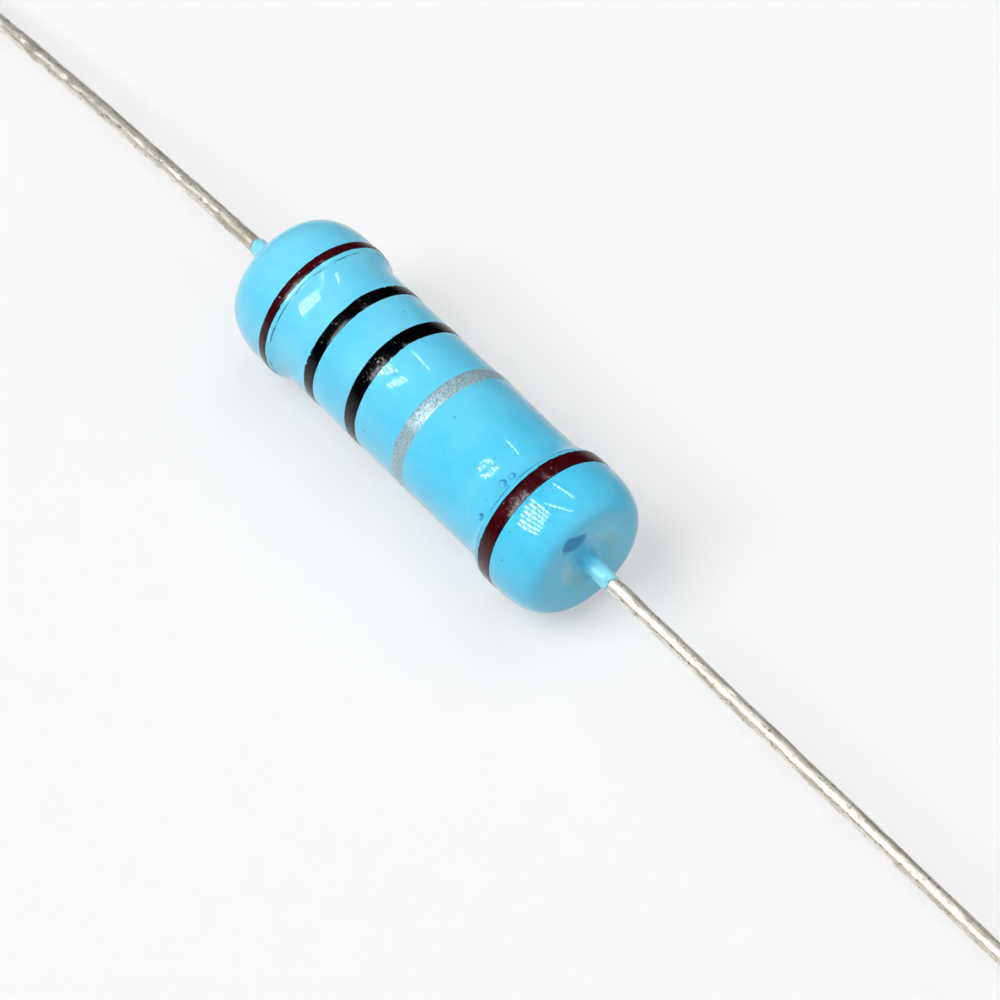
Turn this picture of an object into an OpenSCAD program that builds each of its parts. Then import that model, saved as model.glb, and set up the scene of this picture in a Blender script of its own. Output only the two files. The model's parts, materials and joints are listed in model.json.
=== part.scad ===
// Axial film resistor: ceramic rod, trimmed film, pressed end caps, welded leads, lacquer and colour bands.
// The body lies along X with its lead axis above the surface that it rests on, at Z = 0.

/* [Ceramic rod] */
// Diameter of the ceramic rod
rod_d = 6.5; // [5.8:0.1:7.4]
// Length of the ceramic rod
rod_len = 22.3; // [20.5:0.1:26]

/* [Resistive film] */
// Thickness of the film sleeve on the rod
film_t = 0.05; // [0.03:0.01:0.1]
// Turns of the spiral cut that trims the film
cut_turns = 4; // [2:1:6]
// Width of the spiral cut
cut_w = 0.4; // [0.3:0.05:0.6]
// Film left whole between each cap's rim and the spiral cut
cut_margin = 1.5; // [1:0.1:2.5]

/* [End caps] */
// Wall of the drawn steel caps
cap_wall = 0.28; // [0.2:0.01:0.35]
// Thickness of the caps' closed ends
cap_base_t = 0.3; // [0.25:0.01:0.45]
// How far a cap reaches along the rod
cap_depth = 3.07; // [2.6:0.01:3.6]
// Outer radius where a cap's wall turns into its end
cap_corner_r = 0.9; // [0.7:0.05:1.1]

/* [Leads] */
// Diameter of the lead wire
lead_d = 0.8; // [0.7:0.02:0.9]
// Length of each lead along the wire, from the body's end face to its tip
lead_len = 36; // [32:0.5:40]
// Diameter of the foot where a lead is welded to its cap
weld_d = 1.3; // [1.1:0.05:1.5]
// Height of the welded foot
weld_h = 0.25; // [0.2:0.01:0.35]
// Extra radius of a lead at its foot, where the weld has swollen it
swell_t = 0.04; // [0.03:0.01:0.06]
// Extra radius where the swelling ends, inside the neck of lacquer
swell_end_t = 0.02; // [0.02:0.005:0.03]
// Length of plain wire that the neck's tip covers beyond the swelling
swell_cover = 0.1; // [0.1:0.01:0.15]
// Downward tilt of the left lead where it leaves its cap, in degrees
left_tilt = 2.5; // [1:0.1:2.8]
// Angle through which the left lead bows further down, in degrees
bow_angle = 3.5; // [2:0.1:3.8]
// Radius of that bow
bow_r = 400; // [250:5:420]

/* [Lacquer] */
// Thickness of the lacquer around the caps
cap_lacquer_t = 0.42; // [0.3:0.01:0.6]
// Thickness of the lacquer over the film, where the body's waist is
film_lacquer_t = 0.32; // [0.25:0.01:0.6]
// Thickness of the lacquer over the caps' ends
end_lacquer_t = 0.45; // [0.4:0.01:0.6]
// Rounding of the body's two end edges
end_round_r = 1.4; // [1.1:0.05:1.6]
// Length over which the lacquer falls from a cap's rim to the waist
shoulder_len = 0.85; // [0.5:0.05:1.5]
// Diameter of the shallow dimple in each end face
dimple_d = 3.6; // [3:0.1:4.2]
// Depth of the dimple
dimple_depth = 0.22; // [0.1:0.01:0.3]
// Radius of the lacquer's rise from the dimple to the neck
meniscus_r = 0.4; // [0.3:0.05:0.5]
// Diameter of a neck of lacquer at its root
neck_root_d = 1.2; // [1.12:0.02:1.3]
// Diameter of a neck of lacquer near its tip
neck_tip_d = 1; // [1:0.02:1.1]
// Length of the neck on the left lead, from the end face
left_neck_len = 2.4; // [1.5:0.1:3]
// Length of the neck on the right lead, from the end face
right_neck_len = 1.8; // [1.5:0.1:3]
// Length over which a neck's tip closes onto the wire
neck_taper_len = 0.3; // [0.2:0.05:0.4]
// Lacquer left around the wire where a neck ends
neck_lip_t = 0.04; // [0.03:0.01:0.05]

/* [Colour bands] */
// Thickness of the band paint on the lacquer
band_t = 0.03; // [0.02:0.01:0.05]
// Width of the first brown band, on the left cap
brown_1_w = 0.53; // [0.4:0.01:0.9]
// Gap from the left cap's rim to the first brown band
brown_1_gap = 0.26; // [0.1:0.02:0.8]
// Width of the first black band
black_1_w = 0.74; // [0.5:0.02:1]
// Gap from the left cap's rim to the first black band
black_1_gap = 2.38; // [1.6:0.02:2.6]
// Width of the second black band
black_2_w = 0.84; // [0.5:0.02:1]
// Gap between the two black bands
black_2_gap = 2.43; // [1.5:0.01:2.6]
// Width of the silver band
silver_w = 0.82; // [0.5:0.02:1]
// Gap from the second black band to the silver band
silver_gap = 2.89; // [1.5:0.01:3]
// Width of the last brown band, on the right cap
brown_2_w = 0.9; // [0.6:0.02:1.2]
// Gap from the right cap's rim to the last brown band
brown_2_gap = 0.24; // [0.1:0.02:0.6]

/* [Hidden] */
$fn = 96;

// Radii from the middle outwards
rod_r = rod_d / 2;
film_r = rod_r + film_t;
cap_r = film_r + cap_wall;
bulge_r = cap_r + cap_lacquer_t;
waist_r = film_r + film_lacquer_t;
lead_r = lead_d / 2;

// Places along the body, from its middle
rod_half = rod_len / 2;
rim_x = rod_half - cap_depth;
cap_face_x = rod_half + cap_base_t;
body_half = cap_face_x + end_lacquer_t;
left_rim_x = -rim_x;

// The brown bands are the lowest thing, so the axis is their radius above the surface
axis_z = bulge_r + band_t;

// The caps' inner corner, which the rod's chamfer and the film's ends clear
cap_bore_corner_r = cap_corner_r - cap_wall;
rod_chamfer = cap_bore_corner_r;
film_half = rod_half - rod_chamfer;

// The film is a tube of flat columns, with its inner corners moved out so that it clears the rod.
// Each column has a stack of levels: the film's end, the two edges of each turn of the cut, the other end.
film_columns = 48;
film_in_r = rod_r / cos(180 / film_columns);
film_levels = 2 * cut_turns + 2;
cut_start = cut_margin + cut_w / 2 - rim_x;
cut_pitch = -2 * cut_start / cut_turns;
cut_end_point = film_columns * film_levels;

// Left lead: a long bow, then a straight tip
wire_len = lead_len + end_lacquer_t;
bow_len = bow_r * bow_angle * PI / 180;
weld_bite = weld_h / 4;
tip_len = wire_len - weld_bite - bow_len;

// Outline of the lacquer
curve_steps = 12;
neck_overlap = 0.08;
dimple_r = dimple_d / 2;
neck_root_r = neck_root_d / 2;
neck_tip_r = neck_tip_d / 2;
meniscus_x = body_half - dimple_depth + meniscus_r;

// Left edges of the bands on the waist
black_1_x = left_rim_x + black_1_gap;
black_2_x = black_1_x + black_1_w + black_2_gap;
silver_x = black_2_x + black_2_w + silver_gap;

// Points of an arc, from one angle to another
function arc(centre, r, from, to) =
    [for (i = [0:curve_steps]) let (a = from + (to - from) * i / curve_steps)
        [centre[0] + r * cos(a), centre[1] + r * sin(a)]];

// Points of a soft step, flat at both ends, from one point to another
function soft_step(p, q, along) =
    [for (i = [0:curve_steps]) let (t = i / curve_steps, s = (1 - cos(180 * t)) / 2)
        along == "x" ? [p[0] + (q[0] - p[0]) * s, p[1] + (q[1] - p[1]) * t]
                     : [p[0] + (q[0] - p[0]) * t, p[1] + (q[1] - p[1]) * s]];

function mirrored(points) = [for (i = [len(points) - 1:-1:0]) [points[i][0], -points[i][1]]];

// Lays what stands along +Z along the body's axis
module along_body() {
    translate([0, 0, axis_z]) rotate([0, 90, 0]) children();
}

// Revolves an outline of [radius, place along the body] about the body's axis
module turned() {
    along_body() rotate_extrude() children();
}

module left_side() {
    mirror([1, 0, 0]) children();
}

// Places children on a cap's end, with +Z out along a lead that tilts down
module on_right_cap(tilt) {
    translate([cap_face_x, 0, axis_z]) rotate([0, 90 + tilt, 0]) children();
}

// A cup's section: a disc with a wall, rounded where they meet
module cup_section(r, base_x, corner_r) {
    polygon(concat([[0, rim_x], [r, rim_x]],
        arc([r - corner_r, base_x - corner_r], corner_r, 0, 90), [[0, base_x]]));
}

// The space that a cap fills with what is inside it
module cap_solid() {
    turned() cup_section(cap_r, cap_face_x, cap_corner_r);
}

module cap() {
    difference() {
        cap_solid();
        turned() cup_section(film_r, rod_half, cap_bore_corner_r);
    }
}

// The wire's foot, spread by the weld
module weld_foot() {
    on_right_cap(0) cylinder(h = weld_h, d1 = weld_d, d2 = lead_d);
}

// The swollen root of a lead, along the wire from inside its foot to just inside the neck's tip
module wire_root(neck_len) {
    translate([0, 0, weld_bite])
        cylinder(h = end_lacquer_t + neck_len - swell_cover - weld_bite,
            r1 = lead_r + swell_t, r2 = lead_r + swell_end_t);
}

// A bow that starts inside the foot, drawn back from where a straight tip carries it on
module bowed_wire() {
    translate([bow_r, 0, 0]) rotate([0, bow_angle, 0]) translate([-bow_r, 0, 0]) {
        cylinder(h = tip_len, r = lead_r);
        translate([bow_r, 0, 0]) rotate([-90, 0, 180]) rotate_extrude(angle = bow_angle)
            translate([bow_r, 0]) circle(r = lead_r);
    }
}

// A sleeve of lacquer round a lead, measured from the body's end face
module neck(neck_len) {
    shank = end_lacquer_t + neck_len - neck_taper_len;
    cylinder(h = shank, r1 = neck_root_r, r2 = neck_tip_r);
    translate([0, 0, shank]) cylinder(h = neck_taper_len, r1 = neck_tip_r, r2 = lead_r + neck_lip_t);
}

// The body's half outline is mirrored to make both ends, and a neck is added on each
module lacquer_outside() {
    half = concat(
        soft_step([waist_r, rim_x - shoulder_len], [bulge_r, rim_x], "x"),
        arc([bulge_r - end_round_r, body_half - end_round_r], end_round_r, 0, 90),
        soft_step([dimple_r, body_half], [neck_root_r + meniscus_r, body_half - dimple_depth], "r"),
        arc([neck_root_r + meniscus_r, meniscus_x], meniscus_r, 270, 190),
        [[neck_root_r - neck_overlap, meniscus_x], [0, meniscus_x]]);
    turned() polygon(concat(mirrored(half), half));
    on_right_cap(0) neck(right_neck_len);
    left_side() on_right_cap(left_tilt) neck(left_neck_len);
}

// A ring of paint of one width, from one place along the body, on lacquer of one radius
module band(from_x, w, on_r) {
    turned() translate([on_r, from_x]) square([band_t, w]);
}

// Place along the rod of one edge of the film, at a column round it
function film_edge(column, level) =
    level == 0 ? -film_half
    : level == film_levels - 1 ? film_half
    : let (turn = floor((level - 1) / 2), side = (level + 1) % 2 * 2 - 1)
        cut_start + cut_pitch * (turn + column / film_columns) + side * cut_w / 2;

// Corners of one surface of the film, then the two where the cut ends
function film_corners(r) = [
    for (column = [0:film_columns - 1], level = [0:film_levels - 1]) let (a = 360 * column / film_columns)
        [r * cos(a), r * sin(a), film_edge(column, level)],
    for (level = [film_levels - 3, film_levels - 2]) [r, 0, film_edge(film_columns, level)]];

// Number of a corner; the column past the last is the first again, a turn of the cut further on
function corner(column, level) =
    column < film_columns ? column * film_levels + level
    : level == 0 || level == film_levels - 1 ? level
    : level + 2 < film_levels - 1 ? level + 2
    : cut_end_point + level - film_levels + 3;

// The same face on the inner surface, turned the other way
function inner(face) =
    [for (i = [0:len(face) - 1]) face[(len(face) - i) % len(face)] + cut_end_point + 2];

// Two triangles that join an edge of the outer surface to the same edge of the inner one
function wall(p, q) = let (a = inner([p])[0], b = inner([q])[0]) [[p, a, q], [q, a, b]];

// One column's face between two edges, with the cut's start or end let in where it meets them
function film_face(c, low) =
    let (at_start = c == film_columns - 1 && low == 0, at_end = c == 0 && low == film_levels - 2)
        concat(at_start ? [] : [corner(c + 1, low)], [corner(c, low)],
            at_end ? [cut_end_point, cut_end_point + 1] : [],
            [corner(c, low + 1), corner(c + 1, low + 1)],
            at_start ? [2, 1, corner(c + 1, low)] : []);

module film() {
    outer = [for (c = [0:film_columns - 1], low = [0:2:film_levels - 2]) film_face(c, low)];
    walls = [for (c = [0:film_columns - 1], level = [0:film_levels - 1])
        each level % 2 == 0 ? wall(corner(c + 1, level), corner(c, level))
            : wall(corner(c, level), corner(c + 1, level))];
    cut_ends = concat(wall(2, 1), wall(cut_end_point, cut_end_point + 1));
    polyhedron(concat(film_corners(film_r), film_corners(film_in_r)),
        concat(outer, [for (face = outer) inner(face)], walls, cut_ends));
}

module ceramic_core() {
    color("antiquewhite") turned() polygon([[0, -rod_half], [rod_r - rod_chamfer, -rod_half],
        [rod_r, rod_chamfer - rod_half], [rod_r, rod_half - rod_chamfer],
        [rod_r - rod_chamfer, rod_half], [0, rod_half]]);
}

module resistive_film() {
    color("dimgray") along_body() film();
}

module left_cap() {
    color("silver") left_side() cap();
}

module right_cap() {
    color("silver") cap();
}

module left_lead() {
    color("silver") left_side() {
        weld_foot();
        on_right_cap(left_tilt) {
            wire_root(left_neck_len);
            translate([0, 0, weld_bite]) bowed_wire();
        }
    }
}

module right_lead() {
    color("silver") {
        weld_foot();
        on_right_cap(0) {
            wire_root(right_neck_len);
            cylinder(h = wire_len, r = lead_r);
        }
    }
}

module lacquer_coating() {
    color("deepskyblue") difference() {
        lacquer_outside();
        turned() translate([0, -rim_x]) square([film_r, 2 * rim_x]);
        cap_solid();
        left_side() cap_solid();
        left_lead();
        right_lead();
    }
}

module brown_band_1() {
    color("maroon") band(left_rim_x - brown_1_gap - brown_1_w, brown_1_w, bulge_r);
}

module black_band_1() {
    color("black") band(black_1_x, black_1_w, waist_r);
}

module black_band_2() {
    color("black") band(black_2_x, black_2_w, waist_r);
}

module silver_band() {
    color("silver") band(silver_x, silver_w, waist_r);
}

module brown_band_2() {
    color("maroon") band(rim_x + brown_2_gap, brown_2_w, bulge_r);
}

ceramic_core();
resistive_film();
left_cap();
right_cap();
left_lead();
right_lead();
lacquer_coating();
brown_band_1();
black_band_1();
black_band_2();
silver_band();
brown_band_2();
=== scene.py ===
import json
import math

import bpy
import numpy as np
from mathutils import Matrix, Vector


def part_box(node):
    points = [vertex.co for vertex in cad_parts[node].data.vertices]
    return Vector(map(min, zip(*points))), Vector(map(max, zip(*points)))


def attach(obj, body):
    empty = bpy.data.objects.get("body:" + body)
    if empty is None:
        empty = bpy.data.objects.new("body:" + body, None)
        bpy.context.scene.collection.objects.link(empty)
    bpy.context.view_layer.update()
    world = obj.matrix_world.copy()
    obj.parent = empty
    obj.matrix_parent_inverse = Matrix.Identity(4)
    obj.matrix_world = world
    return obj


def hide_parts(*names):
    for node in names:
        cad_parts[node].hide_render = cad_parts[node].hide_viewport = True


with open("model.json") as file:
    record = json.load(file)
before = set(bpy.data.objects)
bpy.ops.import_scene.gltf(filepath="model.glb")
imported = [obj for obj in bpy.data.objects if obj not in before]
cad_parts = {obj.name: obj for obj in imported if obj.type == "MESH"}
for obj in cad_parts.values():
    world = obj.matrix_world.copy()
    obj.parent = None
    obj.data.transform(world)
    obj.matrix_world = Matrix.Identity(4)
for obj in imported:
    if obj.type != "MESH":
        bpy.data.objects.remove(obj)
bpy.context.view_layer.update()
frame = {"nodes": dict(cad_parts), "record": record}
mm = 0.001


def boxOf(node):
    low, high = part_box(node)
    return np.array(low) / mm, np.array(high) / mm


def halfWidth(node):
    low, high = boxOf(node)
    return (high[1] - low[1]) / 2


# sizes in millimetres, with x measured along the body from its middle
mounts = {m["name"]: m for m in frame["record"]["mounts"]}
coatLow, coatHigh = boxOf("lacquer_coating")
leftNeckX, rightNeckX = coatLow[0], coatHigh[0]
axisZ = (coatLow[2] + coatHigh[2]) / 2
bulgeRadius = halfWidth("lacquer_coating")
paint = halfWidth("brown_band_2") - bulgeRadius
waistRadius = halfWidth("black_band_1") - paint
filmRadius = halfWidth("resistive_film")
capRadius = halfWidth("right_cap")
capLow, capHigh = boxOf("right_cap")
rimX, capFaceX = capLow[0], capHigh[0]
wireRadius = mounts["right_lead"]["dims"]["r_mm"]
wireTipX = boxOf("right_lead")[1][0]


def gridFaces(rows, columns, closedRows):
    # quads between neighbouring rows of a grid whose columns wrap round
    i = np.arange(rows if closedRows else rows - 1)[:, None]
    j = np.arange(columns)[None, :]
    nextI, nextJ = (i + 1) % rows, (j + 1) % columns
    corners = np.stack(np.broadcast_arrays(i * columns + j, i * columns + nextJ,
                                           nextI * columns + nextJ, nextI * columns + j), -1)
    return corners.reshape(-1, 4)


def pieceFrom(name, points, faces, material, slotName, *replaced):
    # points in millimetres; the piece rides on the one body and stands for the CAD nodes named last
    mesh = bpy.data.meshes.new(name)
    mesh.from_pydata((points.reshape(-1, 3) * mm).tolist(), [], faces)
    mesh.polygons.foreach_set("use_smooth", np.ones(len(mesh.polygons), bool))
    mesh.update()
    piece = bpy.data.objects.new(name, mesh)
    bpy.context.scene.collection.objects.link(piece)
    mesh.materials.append(material)
    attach(piece, "root")
    if replaced:
        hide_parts(*replaced)
    print("made", name, "with", sum(len(f) - 2 for f in faces), "triangles")
    return piece


def addAttribute(piece, name, values):
    attribute = piece.data.attributes.new(name, "FLOAT", "POINT")
    attribute.data.foreach_set("value", np.asarray(values, np.float32).ravel())


def roundAxis(x, radius, angle):
    # a point at a place along the body, a radius and an angle: 0 faces -Y and a quarter turn faces up
    return np.stack(np.broadcast_arrays(x, -radius * np.cos(angle), axisZ + radius * np.sin(angle)), -1)


def turnsOf(columns):
    # even angles once round the axis, as one row
    return np.linspace(0, 2 * np.pi, columns, endpoint=False)[None, :]


def softStep(t):
    # 3 t^2 - 2 t^3 between 0 and 1
    t = np.clip(t, 0, 1)
    return t * t * (3 - 2 * t)


def waves(u, count, longest, seed):
    # a sum of sines along u, each shorter and weaker than the last, between about -1 and 1
    shorter, weaker, peak = 0.9, 0.7, 1.9
    draw = np.random.default_rng(seed)
    total = np.zeros_like(u, dtype=float)
    for k in range(count):
        length = longest / (1 + shorter * k)
        sine = np.sin(2 * np.pi * u / length + draw.uniform(0, 2 * np.pi))
        total = total + sine / (1 + weaker * k)
    return total / peak


def feed(tree, socket, value):
    # a link from another node, or else a plain value; a colour gets an alpha of one
    if isinstance(value, bpy.types.NodeSocket):
        tree.links.new(value, socket)
    elif socket.type == "RGBA":
        socket.default_value = (*value, 1)
    else:
        socket.default_value = value


def feedAll(tree, node, values):
    for name, value in values.items():
        feed(tree, node.inputs[name], value)


def stretched(tree, vector, scale):
    mapping = tree.nodes.new("ShaderNodeMapping")
    feedAll(tree, mapping, {"Vector": vector, "Scale": scale})
    return mapping.outputs["Vector"]


def newMaterial(name):
    # the last value returned is the place on the object in millimetres
    material = bpy.data.materials.new(name)
    material.use_nodes = True
    tree = material.node_tree
    tree.nodes.clear()
    output = tree.nodes.new("ShaderNodeOutputMaterial")
    shader = tree.nodes.new("ShaderNodeBsdfPrincipled")
    tree.links.new(shader.outputs["BSDF"], output.inputs["Surface"])
    coords = tree.nodes.new("ShaderNodeTexCoord")
    return material, tree, shader, stretched(tree, coords.outputs["Object"], (1 / mm, 1 / mm, 1 / mm))


def noise(tree, vector, perMm, detail=3.0, rough=0.5, distortion=0.0):
    node = tree.nodes.new("ShaderNodeTexNoise")
    feedAll(tree, node, {"Vector": vector, "Scale": perMm, "Detail": detail, "Roughness": rough,
                         "Distortion": distortion})
    return node.outputs["Fac"]


def cells(tree, vector, perMm):
    # a random colour for each cell
    node = tree.nodes.new("ShaderNodeTexVoronoi")
    feedAll(tree, node, {"Vector": vector, "Scale": perMm})
    return node.outputs["Color"]


def attributeOf(tree, name):
    node = tree.nodes.new("ShaderNodeAttribute")
    node.attribute_name = name
    return node.outputs["Fac"]


def channelOf(tree, colour, name):
    node = tree.nodes.new("ShaderNodeSeparateColor")
    feed(tree, node.inputs["Color"], colour)
    return node.outputs[name]


def alongX(tree, vector):
    node = tree.nodes.new("ShaderNodeSeparateXYZ")
    feed(tree, node.inputs["Vector"], vector)
    return node.outputs["X"]


def maths(tree, operation, first, second=0.0):
    node = tree.nodes.new("ShaderNodeMath")
    node.operation = operation
    feed(tree, node.inputs[0], first)
    feed(tree, node.inputs[1], second)
    return node.outputs[0]


def vectorMath(tree, operation, first, second=None):
    node = tree.nodes.new("ShaderNodeVectorMath")
    node.operation = operation
    feed(tree, node.inputs[0], first)
    if second is not None:
        feed(tree, node.inputs["Scale"] if operation == "SCALE" else node.inputs[1], second)
    return node.outputs["Value" if operation == "LENGTH" else "Vector"]


def leaning(tree, grains, tilt):
    # each grain's own lean: its random colour, less a half, times the tilt
    centred = vectorMath(tree, "SUBTRACT", grains, (0.5, 0.5, 0.5))
    return vectorMath(tree, "SCALE", centred, tilt)


def leaningNormal(tree, lean):
    geometry = tree.nodes.new("ShaderNodeNewGeometry")
    return vectorMath(tree, "NORMALIZE", vectorMath(tree, "ADD", geometry.outputs["Normal"], lean))


def ramp(tree, value, stops):
    node = tree.nodes.new("ShaderNodeValToRGB")
    elements = node.color_ramp.elements
    while len(elements) < len(stops):
        elements.new(0.5)
    for element, (place, colour) in zip(elements, stops):
        element.position = place
        element.color = (*colour, 1) if hasattr(colour, "__len__") else (colour, colour, colour, 1)
    tree.links.new(value, node.inputs["Fac"])
    return node.outputs["Color"]


def between(tree, value, places, ends=(0.0, 1.0)):
    # a ramp with a stop at each of two places
    return ramp(tree, value, list(zip(places, ends)))


def mixed(tree, factor, a, b, blend="MIX"):
    node = tree.nodes.new("ShaderNodeMix")
    node.data_type = "RGBA"
    node.blend_type = blend
    colourA, colourB = [s for s in node.inputs if s.type == "RGBA"]
    factorSocket = [s for s in node.inputs if s.type == "VALUE" and s.enabled][0]
    for value, socket in ((factor, factorSocket), (a, colourA), (b, colourB)):
        feed(tree, socket, value)
    return [s for s in node.outputs if s.type == "RGBA"][0]


def bumped(tree, height, depthMm, strength=1.0, under=None):
    node = tree.nodes.new("ShaderNodeBump")
    feedAll(tree, node, {"Strength": strength, "Distance": depthMm * mm, "Height": height})
    if under is not None:
        tree.links.new(under, node.inputs["Normal"])
    return node.outputs["Normal"]


# in every look, a noise is its spots per millimetre, detail, roughness and distortion,
# and stops are the two values of a noise or a distance between which the look changes
lacquerLook = {
    "thick": (0.072, 0.575, 0.862), "thin": (0.178, 0.675, 0.907), "groove": (0.012, 0.075, 0.125),
    "neck": (0.24, 0.69, 0.85), "bare": (0.20, 0.60, 0.67), "shaded": (0.008, 0.230, 0.530),
    "roughness": 0.045, "ior": 1.52, "sheen": 0.16,
    "cloud": (0.28, 4, 0.55, 0.4), "cloudPerX": -0.02, "cloudStops": (0.25, 0.75),
    "dirt": (0.9, 3, 0.6), "dirtStops": (0.42, 0.62), "grooveStops": (0.018, 0.045),
    "neckX": 12.0, "neckStops": (0.0, 0.8),
    "peel": (1.3, 2, 0.4), "peelMm": 0.001,
}


def lacquerMaterial():
    look = lacquerLook
    material, tree, shader, at = newMaterial("lacquer")
    x = alongX(tree, at)
    awayX = maths(tree, "ABSOLUTE", x)
    # the coat is deeper in colour towards the right end, with slow clouds in it
    deeperRightwards = maths(tree, "MULTIPLY", x, look["cloudPerX"])
    cloud = maths(tree, "ADD", noise(tree, at, *look["cloud"]), deeperRightwards)
    blue = between(tree, cloud, look["cloudStops"], (look["thick"], look["thin"]))
    # the necks' lacquer is thin and pale
    pastBody = between(tree, maths(tree, "SUBTRACT", awayX, look["neckX"]), look["neckStops"])
    blue = mixed(tree, pastBody, blue, look["neck"])
    # painted reflection: pale crescents in the right end's dimple, standing in for reflections off its
    # slopes
    blue = mixed(tree, attributeOf(tree, "bare"), blue, look["bare"])
    # darker in the groove at each cap's rim, more in some places than in others
    fromRim = maths(tree, "ABSOLUTE", maths(tree, "SUBTRACT", awayX, rimX))
    inGroove = between(tree, fromRim, look["grooveStops"], (1.0, 0.0))
    dirt = between(tree, noise(tree, at, *look["dirt"]), look["dirtStops"])
    blue = mixed(tree, maths(tree, "MULTIPLY", inGroove, dirt), blue, look["groove"])
    # painted shade: the colour darkens in the chip in the right end face and on one side of each bubble,
    # where shade would fall
    blue = mixed(tree, attributeOf(tree, "deep"), blue, look["shaded"])
    feedAll(tree, shader, {
        "Base Color": blue, "Roughness": look["roughness"], "IOR": look["ior"],
        "Sheen Weight": look["sheen"],
        "Normal": bumped(tree, noise(tree, at, *look["peel"]), look["peelMm"]),
    })
    return material


speckLook = {"dark": (0.01, 0.06, 0.11), "pale": (0.02, 0.13, 0.2),
             "grit": (8.0, 2), "gritStops": (0.3, 0.7), "roughness": 0.3}


def speckMaterial():
    look = speckLook
    material, tree, shader, at = newMaterial("speck")
    colour = between(tree, noise(tree, at, *look["grit"]), look["gritStops"], (look["dark"], look["pale"]))
    feedAll(tree, shader, {"Base Color": colour, "Roughness": look["roughness"]})
    return material


inkLook = {
    "brown": {"colour": (0.040, 0.0016, 0.0034), "thin": (0.066, 0.004, 0.008),
              "rim": (0.003, 0.002, 0.012)},
    "black": {"colour": (0.0006, 0.0007, 0.0010), "thin": (0.0012, 0.0014, 0.0020),
              "rim": (0.001, 0.001, 0.003)},
    "cover": (2.2, 4, 0.6), "coverStops": (0.45, 0.75), "rimStops": (0.1, 0.4),
    # a fine even grain, and coarser flakes, of which a share lie flat and the others lean
    "grainPerMm": 22.0, "grainTilt": 0.035, "flakePerMm": 14.0, "flakeTilt": 0.30, "flatShare": 0.84,
    "roughness": 0.13, "ior": 1.43,
}


def inkMaterial(kind):
    look, ink = inkLook, inkLook[kind]
    material, tree, shader, at = newMaterial(kind + "Ink")
    cover = noise(tree, at, *look["cover"])
    colour = between(tree, cover, look["coverStops"], (ink["colour"], ink["thin"]))
    colour = mixed(tree, between(tree, attributeOf(tree, "rim"), look["rimStops"]), colour, ink["rim"])
    grains = leaning(tree, cells(tree, at, look["grainPerMm"]), look["grainTilt"])
    flakes = cells(tree, at, look["flakePerMm"])
    stands = maths(tree, "GREATER_THAN", channelOf(tree, flakes, "Blue"), look["flatShare"])
    standing = vectorMath(tree, "SCALE", leaning(tree, flakes, look["flakeTilt"]), stands)
    feedAll(tree, shader, {
        "Base Color": colour, "Roughness": look["roughness"], "IOR": look["ior"],
        "Normal": leaningNormal(tree, vectorMath(tree, "ADD", grains, standing)),
    })
    return material


silverLook = {"dark": (0.20, 0.41, 0.50), "bright": (0.50, 0.63, 0.69), "flakePerMm": 14.0, "tilt": 0.30,
              "metallic": 0.30, "roughness": 0.36}


def silverMaterial():
    look = silverLook
    material, tree, shader, at = newMaterial("silverInk")
    flakes = cells(tree, at, look["flakePerMm"])
    shade = channelOf(tree, flakes, "Red")
    feedAll(tree, shader, {
        "Base Color": between(tree, shade, (0.0, 1.0), (look["dark"], look["bright"])),
        "Metallic": look["metallic"], "Roughness": look["roughness"],
        "Normal": leaningNormal(tree, leaning(tree, flakes, look["tilt"])),
    })
    return material


tinLook = {
    "bright": (0.95, 0.918, 0.82), "dull": (0.62, 0.588, 0.475), "pit": (0.31, 0.285, 0.21),
    "smooth": 0.37, "rough": 0.52, "metallic": 0.72,
    # patches, streaks and pits are drawn out along the wire: the smaller the draw, the longer
    "patches": (1.4, 5, 0.62, 0.3), "patchDraw": 0.22, "toneStops": (0.36, 0.52), "roughStops": (0.3, 0.6),
    "streaks": (9.0, 4, 0.6), "streakDraw": 0.12, "streakMm": 0.006, "streakStrength": 0.7,
    "pits": (6.5, 3, 0.75), "pitDraw": 0.5, "pitStops": (0.34, 0.44),
    "ripples": (1.6, 3, 0.6), "rippleMm": 0.004, "rippleStrength": 0.8,
}


def tinMaterial():
    look = tinLook
    material, tree, shader, at = newMaterial("tinnedWire")
    patches, streaks, pits = [
        noise(tree, stretched(tree, at, (look[draw], 1.0, 1.0)), *look[kind])
        for kind, draw in (("patches", "patchDraw"), ("streaks", "streakDraw"), ("pits", "pitDraw"))]
    tone = between(tree, patches, look["toneStops"], (look["dull"], look["bright"]))
    pitted = between(tree, pits, look["pitStops"], (1.0, 0.0))
    fine = bumped(tree, streaks, look["streakMm"], look["streakStrength"])
    ripples = noise(tree, at, *look["ripples"])
    feedAll(tree, shader, {
        "Base Color": mixed(tree, pitted, tone, look["pit"]),
        "Roughness": between(tree, patches, look["roughStops"], (look["rough"], look["smooth"])),
        "Metallic": look["metallic"],
        "Normal": bumped(tree, ripples, look["rippleMm"], look["rippleStrength"], fine),
    })
    return material


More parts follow.
